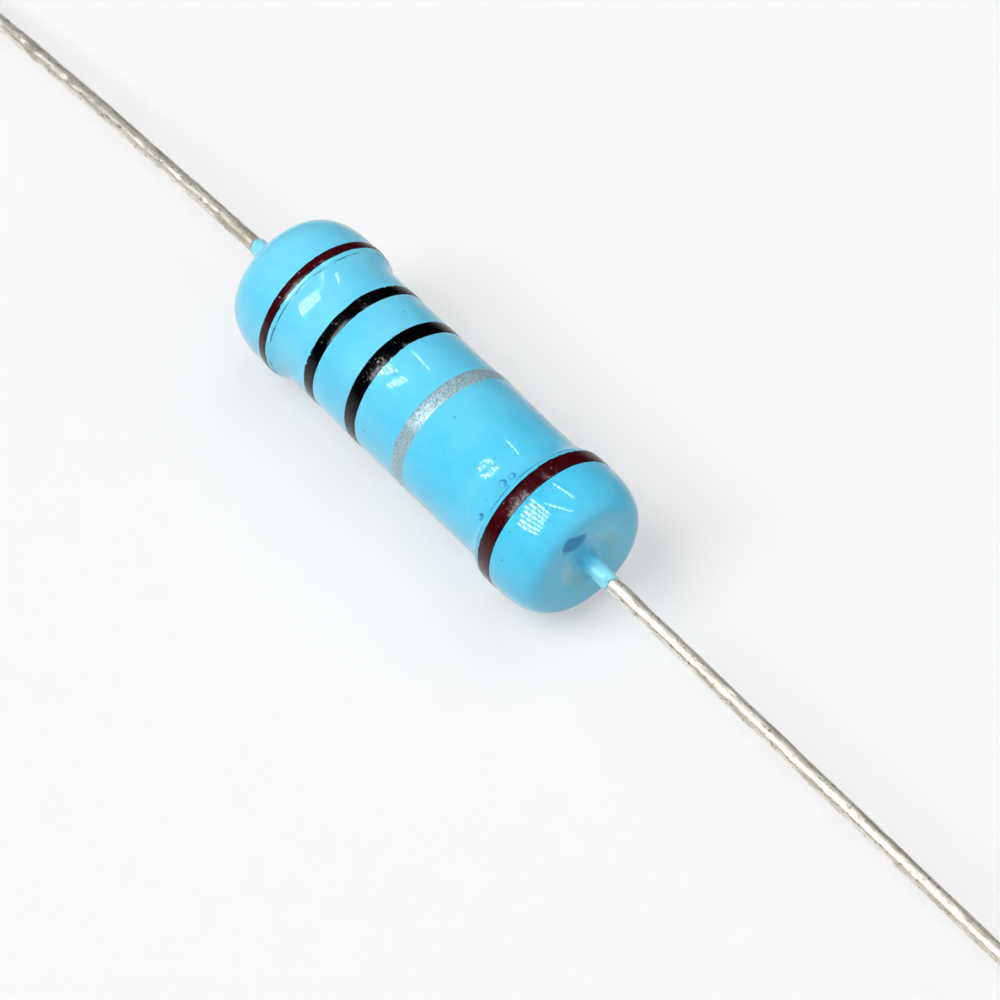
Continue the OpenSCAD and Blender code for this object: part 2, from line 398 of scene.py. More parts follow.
# the hidden parts: the grain's stretch and noise, then two colours and two roughnesses for its stops
innerLooks = {
    "ceramic": {"stretch": (1.0, 1.0, 1.0), "grain": (5.0, 5, 0.7), "stops": (0.35, 0.65),
                "colours": ((0.80, 0.76, 0.68), (0.90, 0.87, 0.81)),
                "roughness": (0.75, 0.75), "metallic": 0.0, "grainMm": 0.006},
    "oxideFilm": {"stretch": (6.0, 0.5, 0.5), "grain": (2.0, 4, 0.6), "stops": (0.3, 0.7),
                  "colours": ((0.10, 0.10, 0.11), (0.21, 0.21, 0.23)),
                  "roughness": (0.42, 0.42), "metallic": 0.4, "grainMm": 0.003},
    "drawnSteel": {"stretch": (0.3, 2.0, 2.0), "grain": (4.0, 5, 0.65), "stops": (0.3, 0.7),
                   "colours": ((0.50, 0.49, 0.46), (0.70, 0.69, 0.66)),
                   "roughness": (0.45, 0.28), "metallic": 1.0, "grainMm": 0.004},
}


def innerMaterial(name):
    look = innerLooks[name]
    material, tree, shader, at = newMaterial(name)
    grain = noise(tree, stretched(tree, at, look["stretch"]), *look["grain"])
    feedAll(tree, shader, {
        "Base Color": between(tree, grain, look["stops"], look["colours"]),
        "Roughness": between(tree, grain, look["stops"], look["roughness"]),
        "Metallic": look["metallic"], "Normal": bumped(tree, grain, look["grainMm"]),
    })
    return material


coat = {
    "columns": 256,  # points round the body
    # how many rows of points each stretch of the outline has
    "rows": {"hollow": 13, "groove": 11, "lip": 6, "bulge": 8, "rounding": 30, "face": 5, "dimple": 12,
             "rise": 8, "shank": 7, "tip": 7, "capCorner": 6},
    "waistSpans": [(-6.75, -2.8, 30), (-2.74, -0.1, 42), (0, 5.7, 40), (5.76, 6.8, 20)],
    "lipX": 8.36, "lipDrop": 0.06, "hollowX": 6.85, "hollowPower": 2.3,
    "grooveDepth": 0.035, "grooveWidth": 0.035, "grooveReach": 0.1,
    "beforeGroove": 0.12, "afterGroove": 0.13,
    "faceX": 11.9, "roundX": 9.3, "roundRise": 1.4, "roundPower": 2.4,
    "dimpleRadius": 1.9, "dimpleDepth": 0.22, "meniscus": 0.4, "meniscusEnd": 262, "afterMeniscus": 0.1,
    "neckRoot": 0.49, "neckTip": 0.465, "neckTaper": 0.3, "neckLip": 0.43,
    # the left neck leans down with its lead, let in towards the axis from a radius
    "leftTilt": 2.5, "leanRadius": 1.0, "leanFade": 0.4,
    # the inside stays clear of all it covers by the gap, and opens from the neck's tip to the weld's foot
    "inside": {"gap": 0.006, "corner": 0.9, "footRadius": 0.66, "tipLength": 0.12, "tipOpens": 0.025,
               "footHeight": 0.24, "footOpens": 0.045},
    # slow waves: one round the body times one along it, each as a rate and a phase, then slanting ones as
    # rate round, rate along and strength; all turn slowly along the body
    "settle": 0.006, "turnPerMm": 0.15, "waveRound": (2, 0.9), "waveAlong": (0.42, 1.1),
    "wavesSlanting": [(3, -0.7, 0.6), (2, 1.9, 0.4)],
    # low swellings where lacquer gathered: place along the body, angle in degrees, length, width, height
    "swellings": [(-2.2, 61, 1.5, 1.9, 0.10), (-1.5, 91, 1.1, 0.9, 0.06), (5.2, 57, 1.4, 1.5, 0.05),
                  (5.6, 90, 1.1, 0.9, 0.07), (-5.0, 215, 1.2, 1.6, 0.05), (3.0, 250, 1.4, 1.8, 0.06),
                  (-3.0, 330, 1.1, 1.4, 0.03), (2.4, 160, 1.2, 1.5, 0.035)],
    # small craters left by bubbles: place, angle, rim radius, rim width, height
    "craters": [(6.2, 61, 0.32, 0.14, 0.007), (-4.2, 24, 0.2, 0.12, 0.008), (4.6, 188, 0.3, 0.14, 0.012)],
    "craterOval": 0.75,
    # rippled patches: place, angle, reach, pitch, how far each wave slants, height
    "ripples": [(-1.05, 60, 0.9, 1.1, -0.6, 0.0045), (-0.55, 87, 1.0, 0.3, 0.5, 0.002),
                (6.5, 86, 1.0, 0.25, 0.5, 0.001)],
    # the relief fades out before the ends, which begin here
    "endX": 11.0, "reliefFade": 1.6,
    # a chipped hollow in the right end face, an oval that is skewed and waved
    "chip": {"fromAxis": 2.30, "degrees": 66, "half": 0.68, "depth": 0.12, "steep": 3.2, "power": 1.4,
             "skew": (0.25, 0.1), "oval": 0.85, "wave": 0.1, "waveRate": 5},
    # painted reflection crescents in the right end's dimple: angle, distance from the axis, width, half
    # angle, strength
    "thinPlaces": [(-28, 1.30, 0.30, 66, 0.8), (178, 1.6, 0.27, 52, 0.7), (-28, 0.98, 0.08, 40, 0.5)],
    "thinSteep": 1.6,
    # the necks' tips: how far they fall short, then waves as times round, phase, height
    "uneven": {"fromX": 12.6, "short": 0.16, "waves": [(1, 2.6, 0.10), (2, 0.6, 0.04)],
               "times": 5, "height": 0.03},
    # the end faces' dishing between two radii, as two waves with times round and rates outwards
    "dish": {"fromX": 11.5, "outer": 2.9, "outerFade": 0.6, "inner": 1.3, "innerFade": 0.5,
             "crossed": (0.012, 3, 0.7, 2.2, 1), "slanting": (0.01, 5, 3.0)},
    "neck": {"fromX": 12.0, "fade": 0.3, "withinRadius": 0.6, "height": 0.018, "pitch": 0.34,
             "wander": 1.5, "lumps": (0.8, 3, 4.0)},
}


def bodyRadius(x):
    # from the waist a hollow rises to the groove at each cap's rim, then a lip leads on to the bulge
    away = np.abs(x)
    short = np.clip((coat["lipX"] - away) / (coat["lipX"] - rimX), 0, 1)
    lip = bulgeRadius - coat["lipDrop"] * short ** 2
    t = np.clip((away - coat["hollowX"]) / (rimX - coat["hollowX"]), 0, 1)
    hollow = waistRadius + (bulgeRadius - coat["lipDrop"] - waistRadius) * t ** coat["hollowPower"]
    groove = coat["grooveDepth"] * np.exp(-((away - rimX) / coat["grooveWidth"]) ** 2)
    return np.where(away > rimX, lip, hollow) - groove


def around(angle, degrees):
    # the way round the waist from an angle given in degrees, in millimetres
    return (np.mod(angle - math.radians(degrees) + np.pi, 2 * np.pi) - np.pi) * waistRadius


def relief(x, angle):
    # how far the lacquer stands out of its even shape: slow waves less a sag, swellings, craters, ripples
    turn = angle + coat["turnPerMm"] * x
    (times, phase), (rate, shift) = coat["waveRound"], coat["waveAlong"]
    slow = np.sin(times * turn + phase) * np.sin(rate * x + shift)
    for times, rate, strength in coat["wavesSlanting"]:
        slow = slow + strength * np.sin(times * turn + rate * x)
    out = coat["settle"] * (slow - np.sin(angle))
    for place, degrees, length, width, height in coat["swellings"]:
        out = out + height * np.exp(-((x - place) / length) ** 2 - (around(angle, degrees) / width) ** 2)
    for place, degrees, rim, width, height in coat["craters"]:
        distance = np.hypot(x - place, coat["craterOval"] * around(angle, degrees))
        out = out + height * np.exp(-((distance - rim) / width) ** 2)
    for place, degrees, reach, pitch, slant, height in coat["ripples"]:
        u, v = x - place, around(angle, degrees)
        window = np.exp(-((u ** 2 + v ** 2) / reach ** 2) ** 2)
        out = out + height * window * np.sin(2 * np.pi * (u + slant * v) / pitch)
    return out * softStep((coat["endX"] - np.abs(x)) / coat["reliefFade"])


def arcPoints(centreX, centreR, radius, start, end, count):
    a = np.radians(np.linspace(start, end, count))
    return np.stack([centreX + radius * np.cos(a), centreR + radius * np.sin(a)], 1)


def endProfile(neckX):
    # from the bulge inwards: superelliptic rounding, end face, dimple, rise to the neck, shank, tip
    faceX, dimple, depth, rows = coat["faceX"], coat["dimpleRadius"], coat["dimpleDepth"], coat["rows"]
    meniscus, neckTip, neckLip = coat["meniscus"], coat["neckTip"], coat["neckLip"]
    power = 2 / coat["roundPower"]
    a = np.radians(np.linspace(0, 90, rows["rounding"]))
    rounding = np.stack([coat["roundX"] + (faceX - coat["roundX"]) * np.sin(a) ** power,
                         bulgeRadius - coat["roundRise"] * (1 - np.cos(a) ** power)], 1)
    foot = coat["neckRoot"] + meniscus
    faceRadii = np.linspace(bulgeRadius - coat["roundRise"], dimple, rows["face"] + 2)[1:-1]
    face = np.stack([np.full(rows["face"], faceX), faceRadii], 1)
    t = np.linspace(0, 1, rows["dimple"])
    hollow = np.stack([faceX - depth * softStep(t), dimple + (foot - dimple) * t], 1)
    rise = arcPoints(faceX - depth + meniscus, foot, meniscus, 180, coat["meniscusEnd"], rows["rise"])[1:]
    shankX = np.linspace(rise[-1, 0] + coat["afterMeniscus"], neckX - coat["neckTaper"], rows["shank"])
    along = (shankX - shankX[0]) / (shankX[-1] - shankX[0])
    shank = np.stack([shankX, rise[-1, 1] + (neckTip - rise[-1, 1]) * along], 1)
    s = np.linspace(0, 1, rows["tip"])[1:]
    tip = np.stack([shankX[-1] + coat["neckTaper"] * np.sin(s * np.pi / 2),
                    neckLip + (neckTip - neckLip) * np.cos(s * np.pi / 2)], 1)
    return np.concatenate([rounding, face, hollow, rise, shank, tip])


def innerProfile(neckX):
    # the coat's inside, from a neck's tip back to the middle of the body: wire, weld foot, cap, film
    inside = coat["inside"]
    gap, corner = inside["gap"], inside["corner"]
    wireHole = wireRadius + gap
    capCorner = arcPoints(capFaceX + gap - corner, capRadius + gap - corner, corner, 0, 90,
                          coat["rows"]["capCorner"])
    return np.array([[neckX, wireHole], [neckX - inside["tipLength"], wireHole + inside["tipOpens"]],
                     [capFaceX + inside["footHeight"], wireHole + inside["footOpens"]],
                     [capFaceX + gap, inside["footRadius"]], *capCorner.tolist(), [rimX, capRadius + gap],
                     [rimX - gap, filmRadius + gap], [rimX / 2, filmRadius + gap]])


def coatProfile():
    # a closed loop of places along the body and radii: the outside from left to right, the inside back
    rows, lipX = coat["rows"], coat["lipX"]
    side = np.concatenate([
        np.linspace(coat["hollowX"], rimX - coat["beforeGroove"], rows["hollow"]),
        rimX + np.linspace(-coat["grooveReach"], coat["grooveReach"], rows["groove"]),
        np.linspace(rimX + coat["afterGroove"], lipX, rows["lip"]),
        np.linspace(lipX, coat["roundX"], rows["bulge"])[1:]])
    waist = np.concatenate([np.linspace(*span) for span in coat["waistSpans"]])
    body = np.concatenate([-side[::-1], waist, side])
    middle = np.stack([body, bodyRadius(body)], 1)
    flip = np.array([-1, 1])
    rightEnd, leftEnd = endProfile(rightNeckX)[1:], endProfile(-leftNeckX)[1:] * flip
    rightIn, leftIn = innerProfile(rightNeckX), innerProfile(-leftNeckX) * flip
    outside = np.concatenate([leftEnd[::-1], middle, rightEnd])
    return np.concatenate([outside, rightIn, leftIn[::-1]]), len(outside)


def leanLeft(points, radius):
    # the left neck's lean is a turn about the cap's middle, let in where the face rises to the neck
    x, z = points[..., 0], points[..., 2] - axisZ
    a = -math.radians(coat["leftTilt"]) * softStep((coat["leanRadius"] - radius) / coat["leanFade"])
    a = a * (x < -capFaceX)
    u = x + capFaceX
    points[..., 0] = -capFaceX + u * np.cos(a) + z * np.sin(a)
    points[..., 2] = axisZ - u * np.sin(a) + z * np.cos(a)
    return points


def chipDepth(radius, angle):
    # 1 in the middle of a hollow with rounded corners, and 0 outside it
    chip = coat["chip"]
    turn = angle - math.radians(chip["degrees"])
    u, v = radius * np.cos(turn) - chip["fromAxis"], radius * np.sin(turn)
    outwards = np.abs(u + chip["skew"][0] * v + chip["wave"] * np.sin(chip["waveRate"] * v))
    sideways = np.abs(chip["oval"] * v - chip["skew"][1] * u)
    across = (outwards ** chip["power"] + sideways ** chip["power"]) ** (1 / chip["power"])
    return np.clip(chip["steep"] - chip["steep"] * across / chip["half"], 0, 1)


def paintedReflectionCrescents(radius, angle):
    # painted reflection crescents that fade out across and along, in the dimple
    total = 0
    for degrees, fromAxis, width, halfAngle, strength in coat["thinPlaces"]:
        least = math.cos(math.radians(halfAngle))
        inside = (np.cos(angle - math.radians(degrees)) - least) / (1 - least)
        along = softStep(inside * coat["thinSteep"])
        total = total + strength * along * np.exp(-((radius - fromAxis) / width) ** 4)
    return np.clip(total, 0, 1)


def endRelief(x, radius, angle):
    # marks on the ends, outwards along the body: the necks' uneven tips, the chip and the dished faces
    uneven, dish = coat["uneven"], coat["dish"]
    sideX = np.sign(x)
    tip = np.where(x > 0, rightNeckX, -leftNeckX)
    last = np.clip((np.abs(x) - uneven["fromX"]) / (tip - uneven["fromX"]), 0, 1)
    short = uneven["short"]
    for times, phase, height in uneven["waves"]:
        short = short + height * np.sin(times * angle + phase)
    short = short + uneven["height"] * np.sin(uneven["times"] * angle + sideX)
    face = softStep((dish["outer"] - radius) / dish["outerFade"])
    face = face * softStep((radius - dish["inner"]) / dish["innerFade"])
    height, times, phase, rate, shift = dish["crossed"]
    dished = height * np.sin(times * angle + phase) * np.sin(rate * radius + shift)
    height, times, rate = dish["slanting"]
    dished = dished + height * np.sin(times * angle + rate * radius)
    chip = (x > coat["endX"]) * coat["chip"]["depth"] * chipDepth(radius, angle)
    return -sideX * last * short - chip + face * dished * (np.abs(x) > dish["fromX"])


def neckWaves(x, angle):
    # shallow rings and lumps on the two necks
    neck = coat["neck"]
    rings = np.sin(2 * np.pi * np.abs(x) / neck["pitch"] + neck["wander"] * np.sin(2 * angle))
    strength, times, rate = neck["lumps"]
    rings = rings + strength * np.sin(times * angle + rate * x)
    return neck["height"] * rings * softStep((np.abs(x) - neck["fromX"]) / neck["fade"])


def makeCoat(material):
    profile, outsideRows = coatProfile()
    angle = turnsOf(coat["columns"])
    x, radius = profile[:, :1], profile[:, 1:]
    outer = (np.arange(len(profile)) < outsideRows)[:, None]
    out = np.where(outer & (np.abs(x) < coat["endX"]), relief(x, angle), 0)
    out = out + np.where(outer & (radius < coat["neck"]["withinRadius"]), neckWaves(x, angle), 0)
    along = np.where(outer & (np.abs(x) > coat["endX"]), endRelief(x, radius, angle), 0)
    points = leanLeft(roundAxis(x + along, radius + out, angle), radius + 0 * angle)
    faces = gridFaces(len(profile), coat["columns"], True)[:, ::-1].tolist()
    piece = pieceFrom("lacquerCoat", points, faces, material, "lacquer", "lacquer_coating")
    atRight = outer & (x > coat["endX"])
    # painted shade in the chip's hollow
    addAttribute(piece, "deep", np.where(atRight, chipDepth(radius, angle) ** 0.5, 0))
    # painted reflection crescents in the dimple
    addAttribute(piece, "bare", np.where(atRight, paintedReflectionCrescents(radius, angle), 0))
    return piece


# places are the place along the body, angle in degrees, radius and height
bubbles = {
    # shade is painted shade on one side of each bubble, towards shadeAngle
    "rings": 12, "columns": 32, "shadeAngle": 2.2, "shade": 1.0,
    "places": [(7.70, 69.5, 0.22, 0.17), (7.58, 60.8, 0.25, 0.15), (7.95, 61.4, 0.12, 0.10),
               (7.7, 31.2, 0.19, 0.16), (-7.5, 200, 0.2, 0.09), (7.45, 275, 0.22, 0.09),
               (7.6, 283, 0.12, 0.06)],
}
specks = {
    "rings": 4, "columns": 10, "shadeAngle": 0.0, "shade": 0.0,
    "places": [(6.26, 70.5, 0.042, 0.012), (7.43, 43.5, 0.04, 0.012), (9.61, 39.6, 0.045, 0.012),
               (-3.71, 109.8, 0.05, 0.012), (3.07, 72.3, 0.055, 0.012), (-0.96, 7.6, 0.06, 0.012),
               (3.98, 47.2, 0.03, 0.012), (-1.55, 100.1, 0.04, 0.01), (8.05, -8, 0.05, 0.012),
               (0.1, 205, 0.06, 0.012), (-6.1, 168, 0.05, 0.012), (5.1, 232, 0.05, 0.012),
               (9.9, 18, 0.04, 0.012), (-4.4, 262, 0.05, 0.012), (-9.6, 190, 0.05, 0.012),
               (9.5, 150, 0.05, 0.012)],
}
# each dot's underside is a share of its height and is sunk; its painted shade begins at a share of its
# radius
dot = {"underShare": 0.4, "underSunk": 0.02, "sunk": 0.004,
       "shadeFrom": 0.2, "shadeFade": 0.45, "shadeMean": 0.6, "shadeSwing": 0.5}


def makeDots(name, look, material):
    # lenses: height times the root of one less the squared distance, over a flatter dish sunk in the coat
    allPoints, allFaces, allShade = [], [], []
    rings, columns = look["rings"], look["columns"]
    q = np.linspace(0.5 / rings, 1, rings)[:, None]
    turn = turnsOf(columns)
    for place, degrees, size, height in look["places"]:
        top = height * np.sqrt(np.clip(1 - q ** 2, 0, 1))
        under = -dot["underShare"] * height * (1 - q ** 2) - dot["underSunk"]
        x = place + size * q * np.cos(turn)
        angle = math.radians(degrees) + size * q * np.sin(turn) / bodyRadius(np.array(place))
        ground = bodyRadius(x) + relief(x, angle) - dot["sunk"]
        upper, lower = roundAxis(x, ground + top, angle), roundAxis(x, ground + under, angle)
        base = sum(len(p) for p in allPoints)
        faces = (gridFaces(2 * rings, columns, False) + base)[:, ::-1].tolist()
        last = base + (2 * rings - 1) * columns
        faces += [list(range(base, base + columns)), list(range(last, last + columns))[::-1]]
        allPoints.append(np.concatenate([upper, lower[::-1]]).reshape(-1, 3))
        allFaces += faces
        # painted shade: darker towards the rim, most on the side towards shadeAngle
        side = look["shade"] * softStep((q - dot["shadeFrom"]) / dot["shadeFade"])
        side = side * (dot["shadeMean"] + dot["shadeSwing"] * np.cos(turn - look["shadeAngle"]))
        allShade.append(np.concatenate([side, side[::-1]]).ravel())
    piece = pieceFrom(name, np.concatenate(allPoints), allFaces, material, "lacquer")
    addAttribute(piece, "deep", np.concatenate(allShade))
    return piece


bands = {
    "columns": 720, "across": 15, "sunk": 0.012, "thick": 0.026, "domePower": 2.6, "rimWidth": 0.07,
    # waves along an edge are how many and the longest; the fine ones come in patches, all stop at a seam
    "coarse": (4, 5.0), "coarseShare": 0.8, "fine": (6, 0.55), "fineSeed": 20,
    "patches": (3, 6.0), "patchMean": 0.3, "patchSwing": 1.3, "patchSeed": 40,
    "seam": 0.2, "leanMean": 0.3,
}
# ink, seed, then for the left and the right edge its raggedness, lean and the angle it leans to in degrees
bandEdges = {
    "brown_band_1": ("brown", 100, (0.016, 0.05, 30), (0.026, 0.05, 25)),
    "black_band_1": ("black", 107, (0.046, 0.03, 60), (0.014, 0.03, 90)),
    "black_band_2": ("black", 114, (0.014, 0.12, -30), (0.026, 0.08, -10)),
    "silver_band": ("silver", 121, (0.012, 0.01, 40), (0.022, 0.06, 48)),
    "brown_band_2": ("brown", 128, (0.024, 0.03, 20), (0.010, 0.03, 10)),
}


def makeBand(node, inks):
    # a strip round the body between two uneven edges, domed across, on the lacquer's own surface
    ink, seed, *twoEdges = bandEdges[node]
    low, high = boxOf(node)
    angle = turnsOf(bands["columns"])
    girth = angle * waistRadius
    seam = softStep(angle / bands["seam"]) * softStep((2 * np.pi - angle) / bands["seam"])
    edges = []
    for k, (rag, lean, leanTo) in enumerate(twoEdges):
        coarse = bands["coarseShare"] * waves(girth, *bands["coarse"], seed + k)
        patchWaves = waves(girth, *bands["patches"], seed + bands["patchSeed"] + k)
        patches = softStep(bands["patchMean"] + bands["patchSwing"] * patchWaves)
        fine = patches * waves(girth, *bands["fine"], seed + bands["fineSeed"] + k)
        leans = lean * (np.cos(angle - math.radians(leanTo)) - bands["leanMean"])
        edges.append(leans + rag * (coarse + fine) * seam)
    t = np.linspace(0, 1, bands["across"])[:, None]
    t = 0.5 - 0.5 * np.cos(np.pi * t)
    left, right = low[0] + edges[0], high[0] + edges[1]
    x = left + (right - left) * t
    film = bands["thick"] * np.sqrt(1 - np.abs(2 * t - 1) ** bands["domePower"])
    ground = bodyRadius(x) + relief(x, angle)
    top, under = roundAxis(x, ground + film, angle), roundAxis(x, ground - bands["sunk"], angle)
    points = np.concatenate([top, under[::-1]])
    faces = gridFaces(2 * bands["across"], bands["columns"], True)[:, ::-1].tolist()
    name = node.title().replace("_", "") + "Print"
    piece = pieceFrom(name[0].lower() + name[1:], points, faces, inks[ink], ink + "_paint", node)
    rim = np.clip(1 - np.minimum(x - left, right - x) / bands["rimWidth"], 0, 1)
    addAttribute(piece, "rim", np.concatenate([rim, rim[::-1]]))
    return piece


wire = {
    "columns": 56, "step": 0.11, "footRows": 5, "tipRows": 7,
    "footHeight": 0.25, "footRadius": 0.65, "afterFoot": 0.1,
    "rootSwell": 0.03, "rootFade": 0.4, "tipLength": 0.2, "tipPinch": 0.07,
    # outside the neck the radius ripples and the wire wanders; waves are how many and the longest
    "freeFade": 1.5, "ripple": 0.006, "rippleWaves": (6, 5.0), "oval": 0.7, "ovalTurn": 0.5,
    "wander": 0.012, "sideWaves": (4, 14.0), "upWaves": (4, 11.0),
    "markFrom": 0.3, "markFade": 0.6,
    "right_lead": {"seed": 5, "neckX": rightNeckX},
    "left_lead": {"seed": 9, "neckX": -leftNeckX},
}
# where a tool has marked a lead: place along it, angle in degrees, length, depth (a burr has a minus)
wireMarks = {
    "right_lead": [(3.2, 128, 0.75, -0.035), (7.1, 120, 0.22, 0.03), (10.5, -8, 0.45, -0.03),
                   (10.9, 45, 0.5, 0.035), (15.4, 100, 0.4, 0.025), (19.6, 20, 0.4, -0.02),
                   (21.2, 110, 0.3, 0.03), (27.0, 80, 0.5, 0.03)],
    "left_lead": [(3.1, 60, 0.3, 0.03), (6.6, 45, 0.2, 0.03), (8.9, 70, 0.25, 0.04),
                  (12.1, 100, 0.35, 0.03), (16.4, 60, 0.3, 0.035), (18.3, 0, 0.3, -0.05),
                  (18.9, 60, 0.3, 0.05), (21.6, 20, 0.25, -0.035), (22.4, 75, 0.5, 0.05),
                  (24.6, 50, 0.3, 0.04), (27.0, 95, 0.5, 0.03)],
}


def leadLine(name, s):
    # a lead's centre and its upward direction at a length s from its cap's face: the right one is
    # straight, and the left one is an arc from the neck's tilt to the mount's, then runs straight on
    side = 1 if name == "right_lead" else -1
    if side > 0:
        tilt = np.zeros_like(s)
        u, down = s, np.zeros_like(s)
    else:
        mount = mounts[name]
        endTilt = math.asin(-mount["axis"][2])
        startTilt = math.radians(coat["leftTilt"])
        place = np.array(mount["pos_m"]) / mm
        half = mount["dims"]["length_mm"] / 2
        bowEnd = np.array([-place[0] - half * math.cos(endTilt), place[2] + half * math.sin(endTilt)])
        chord = math.hypot(bowEnd[0] - capFaceX, axisZ - bowEnd[1])
        bowRadius = chord / (2 * math.sin((endTilt - startTilt) / 2))
        tilt = np.minimum(startTilt + s / bowRadius, endTilt)
        bent = np.minimum(s, bowRadius * (endTilt - startTilt))
        beyond = s - bent
        bentTilt = startTilt + bent / bowRadius
        u = bowRadius * (np.sin(bentTilt) - math.sin(startTilt)) + beyond * math.cos(endTilt)
        down = bowRadius * (math.cos(startTilt) - np.cos(bentTilt)) + beyond * math.sin(endTilt)
    centre = np.stack([side * (capFaceX + u), 0 * u, axisZ - down], 1)
    up = np.stack([side * np.sin(tilt), 0 * u, np.cos(tilt)], 1)
    return centre, up


def makeLead(name, material):
    # a circle carried along the lead with a rippled radius, a foot at the cap and a pinched cut at the tip
    length, root = wireTipX - capFaceX, wire[name]["neckX"] - capFaceX
    foot, cut, seed = wire["footHeight"], wire["tipLength"], wire[name]["seed"]
    s = np.concatenate([np.linspace(0, foot, wire["footRows"]),
                        np.arange(foot + wire["afterFoot"], length - cut, wire["step"]),
                        length - cut + cut * np.sin(np.linspace(0, np.pi / 2, wire["tipRows"]))])
    angle = turnsOf(wire["columns"])
    footSpread = wire["footRadius"] - wireRadius - wire["rootSwell"]
    base = np.where(s < foot, wire["footRadius"] - footSpread * s / foot,
                    wireRadius + wire["rootSwell"] * softStep((root - s) / wire["rootFade"]))
    free = softStep((s - root) / wire["freeFade"])[:, None]
    ripples = waves(s, *wire["rippleWaves"], seed)[:, None]
    ripples = ripples + wire["oval"] * np.sin(2 * angle + wire["ovalTurn"] * s[:, None])
    radius = base[:, None] + free * wire["ripple"] * ripples
    for place, degrees, markLength, depth in wireMarks[name]:
        toward = softStep((np.cos(angle - math.radians(degrees)) - wire["markFrom"]) / wire["markFade"])
        radius = radius - depth * np.exp(-((s[:, None] - place) / markLength) ** 2) * toward
    tip = np.clip((s - length + cut) / cut, 0, 1)[:, None]
    radius = radius - wire["tipPinch"] * (1 - np.sqrt(np.clip(1 - tip ** 2, 0, 1)))
    centre, up = leadLine(name, s)
    sway = free[:, 0] * wire["wander"]
    centre = centre + np.stack([0 * s, sway * waves(s, *wire["sideWaves"], seed + 1),
                                sway * waves(s, *wire["upWaves"], seed + 2)], 1)
    side = np.array([0.0, -1.0, 0.0])
    points = centre[:, None, :] + radius[..., None] * (np.cos(angle)[..., None] * side
                                                      + np.sin(angle)[..., None] * up[:, None, :])
    last = (len(s) - 1) * wire["columns"]
    faces = gridFaces(len(s), wire["columns"], False).tolist()
    faces += [list(range(wire["columns"]))[::-1], list(range(last, last + wire["columns"]))]
    # the circle turns the other way round a lead that runs to the right, so its faces are turned over
    if name == "right_lead":
        faces = [face[::-1] for face in faces]
    return pieceFrom(name.split("_")[0] + "Wire", points, faces, material, "tinned_wire", name)


# lengths of the floor and lamps are in metres here
floorLook = {
    "half": 3.0, "colour": (0.49, 0.49, 0.49), "dimmer": 0.985, "cloud": (0.01, 2),
    "cloudStops": (0.3, 0.7), "roughness": 0.9, "glow": 0.42, "glowTint": (0.985, 0.99, 1.0),
    # how much of the floor is mirrored at a distance, where 1 is 667 mm along x or 100 mm along y
    "distance": (0.0015, 0.01, 0.0), "mirrored": [(0.05, 1.0), (0.14, 0.62), (0.34, 0.28), (0.70, 0.06)],
}
# the sky's two steps up in brightness: where along the direction x each starts and ends, and its height
sky = [(-0.40, -0.05, 0.265), (0.35, 0.95, 0.58)]
lamps = {
    "away": 2.4,
    # lit bricks: four corner directions, strength, cells across and up, how many cells make a brick
    "panel": {"corners": [(-0.44, -0.25, 0.86), (-0.02, -0.25, 0.96), (0.15, -0.74, 0.62),
                          (-0.36, -0.76, 0.47)],
              "strength": 19.9, "cells": (7, 7), "brick": 1.8},
    "rowOne": {"corners": [(-0.44, 0.24, 0.87), (0.02, 0.34, 0.94), (0.02, 0.42, 0.90),
                           (-0.44, 0.32, 0.84)],
               "strength": 19.5, "cells": (6, 1), "brick": 1.0},
    "rowTwo": {"corners": [(-0.28, -0.22, 0.945), (0.44, 0.14, 0.885), (0.435, 0.22, 0.87),
                           (-0.28, -0.14, 0.94)],
               "strength": 19.5, "cells": (7, 1), "brick": 1.0},
    "bright": (1, 1, 1), "dim": (0.6, 0.6, 0.6), "between": (0.02, 0.02, 0.02), "gap": 0.24, "soft": 0.1,
    "stagger": 0.5,
    "fill": {"toward": (-0.13, 0.5, 0.75), "size": 1.2, "power": 8.4},
    "front": {"toward": (-0.2, -0.93, 0.30), "size": 1.2, "power": 5.5},
}
# the camera: degrees, millimetres, and the lens as a share of the sensor; the clip is in metres
view = {"azimuth": 50.69, "elevation": 51.70, "away": 240.0, "target": (6.278, -0.906), "focal": 4.9556,
        "sensor": 36, "clip": (0.01, 50)}


def placed(name, data):
    item = bpy.data.objects.new(name, data)
    bpy.context.scene.collection.objects.link(item)
    return item


def makeFloor():
    # the floor glows a little for the camera and for reflections, which keeps it pale under the shadow
    look, half = floorLook, floorLook["half"]
    mesh = bpy.data.meshes.new("floor")
    corners = [(-half, -half, 0), (half, -half, 0), (half, half, 0), (-half, half, 0)]
    mesh.from_pydata(corners, [], [(0, 1, 2, 3)])
    floor = placed("floor", mesh)
    material, tree, shader, at = newMaterial("paper")
    low = tuple(look["dimmer"] * c for c in look["colour"])
    paper = between(tree, noise(tree, at, *look["cloud"]), look["cloudStops"], (low, look["colour"]))
    # for reflections only, its far part fades to dark
    rays = tree.nodes.new("ShaderNodeLightPath").outputs
    distance = vectorMath(tree, "LENGTH", stretched(tree, at, look["distance"]))
    near = mixed(tree, rays["Is Glossy Ray"], (1, 1, 1), ramp(tree, distance, look["mirrored"]))
    mirrored = maths(tree, "MAXIMUM", rays["Is Glossy Ray"], rays["Is Transmission Ray"])
    seen = maths(tree, "MAXIMUM", rays["Is Camera Ray"], mirrored)
    feedAll(tree, shader, {
        "Base Color": mixed(tree, 1.0, paper, near, "MULTIPLY"), "Roughness": look["roughness"],
        "Specular IOR Level": 0.0, "Emission Color": look["glowTint"],
        "Emission Strength": maths(tree, "MULTIPLY", maths(tree, "MULTIPLY", seen, look["glow"]), near),
    })
    mesh.materials.append(material)


